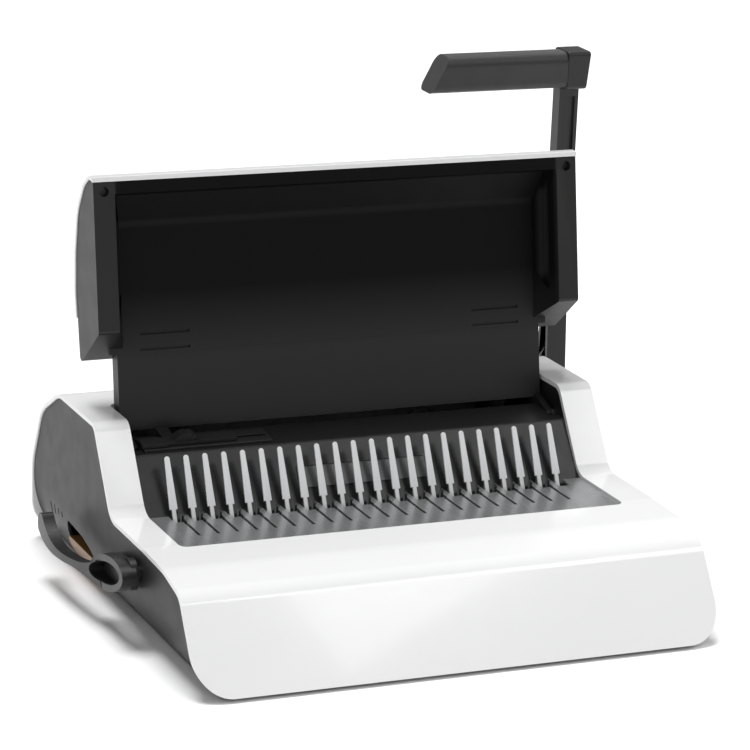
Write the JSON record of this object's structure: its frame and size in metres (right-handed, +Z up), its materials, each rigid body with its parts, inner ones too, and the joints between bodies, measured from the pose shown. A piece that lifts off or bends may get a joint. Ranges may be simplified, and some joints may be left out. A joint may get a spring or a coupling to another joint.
{
  "type": "comb binding machine",
  "caption": "Manual comb binding machine with a hinged lid, upright punch lever, side comb-opening lever, ring fingers and a slide-out chip tray.",
  "frame": {"origin": "centre of the overall box at the level of the feet", "axes": "+X to the operator's right along the comb, +Y to the back, +Z up"},
  "size_m": [0.448, 0.384, 0.3682],
  "materials": {
    "cover_white": "high-gloss white moulded ABS",
    "panel_black": "fine-textured charcoal plastic",
    "liner_black": "satin charcoal plastic",
    "throat_black": "satin black plastic",
    "deck_grey": "glossy smoke-grey plastic",
    "inset_grey": "satin dark grey plastic",
    "finger_white": "light grey enamelled steel",
    "steel": "ground steel",
    "zinc_steel": "zinc-plated pressed steel",
    "bronze": "sintered bronze",
    "lever_black": "satin charcoal glass-filled plastic",
    "grip_black": "soft matt moulded grip",
    "guide_black": "satin black plastic",
    "rubber": "matt black rubber",
    "base_black": "matt black plastic",
    "tray_tan": "glossy tan plastic"
  },
  "bodies": {
    "base": {"top_cover": "cover_white", "rear_cover": "cover_white", "left_side_panel": "panel_black", "right_side_panel": "panel_black", "base_pan": "base_black", "rubber_feet": "rubber", "base_screws": "zinc_steel", "throat_housing": "throat_black", "wall_inset_plate": "inset_grey", "deck_plate": "deck_grey", "comb_fingers": "finger_white", "finger_rail": "guide_black", "guide_rail": "guide_black", "die_plate": "steel", "punch_guide_plate": "steel", "die_spacers": "zinc_steel", "punch_frame_right": "zinc_steel", "punch_frame_left": "zinc_steel", "shaft_bush_right": "bronze", "shaft_bush_left": "bronze", "lever_return_spring": "steel", "comb_shaft_brackets": "base_black", "opener_rails": "base_black"},
    "punch_lever": {"punch_shaft": "steel", "punch_cam_left": "steel", "punch_cam_right": "steel", "shaft_snap_rings": "steel", "lever_arm": "lever_black", "lever_hub_cap": "lever_black", "lever_grip_collar": "lever_black", "lever_grip": "grip_black"},
    "punch_bar_body": {"punch_bar": "steel", "punch_pins": "steel", "cam_followers": "steel"},
    "lid": {"lid_liner": "liner_black", "lid_cover": "cover_white", "lid_screws": "zinc_steel", "lid_hinge_pins": "steel", "lid_bumpers": "rubber"},
    "comb_lever_body": {"comb_lever": "lever_black", "comb_shaft": "steel", "comb_pinion_left": "guide_black", "comb_pinion_right": "guide_black"},
    "comb_opener": {"opener_plate": "guide_black", "opener_hooks": "guide_black"},
    "edge_guide": {"guide_slider": "guide_black", "guide_knob": "guide_black"},
    "chip_tray_body": {"chip_tray": "tray_tan"}
  },
  "joints": [
    {"name": "punch_lever_hinge", "type": "hinge", "parent": "base", "child": "punch_lever", "pos_m": [-0.0055, 0.146, 0.07], "axis": [1, 0, 0], "range_deg": [0, 74], "stiffness_Nm_per_rad": 1.2, "springref_deg": -20.05},
    {"name": "punch_stroke", "type": "slide", "parent": "base", "child": "punch_bar_body", "axis": [0, -1, 0], "range_m": [0, 0.012]},
    {"name": "lid_hinge", "type": "hinge", "parent": "base", "child": "lid", "pos_m": [-0.0055, 0.048, 0.106], "axis": [1, 0, 0], "range_deg": [0, 104]},
    {"name": "comb_lever_hinge", "type": "hinge", "parent": "base", "child": "comb_lever_body", "pos_m": [-0.0055, -0.0575, 0.0498], "axis": [1, 0, 0], "range_deg": [0, 120]},
    {"name": "comb_opener_slide", "type": "slide", "parent": "base", "child": "comb_opener", "axis": [0, -1, 0], "range_m": [0, 0.0252]},
    {"name": "edge_guide_slide", "type": "slide", "parent": "base", "child": "edge_guide", "axis": [1, 0, 0], "range_m": [0, 0.04]},
    {"name": "chip_tray_slide", "type": "slide", "parent": "base", "child": "chip_tray_body", "axis": [-1, 0, 0], "range_m": [0, 0.18]}
  ],
  "couplings": [
    {"joint": "punch_stroke", "follows": "punch_lever_hinge", "m_per_rad": 0.0092911},
    {"joint": "comb_opener_slide", "follows": "comb_lever_hinge", "m_per_rad": 0.012}
  ]
}
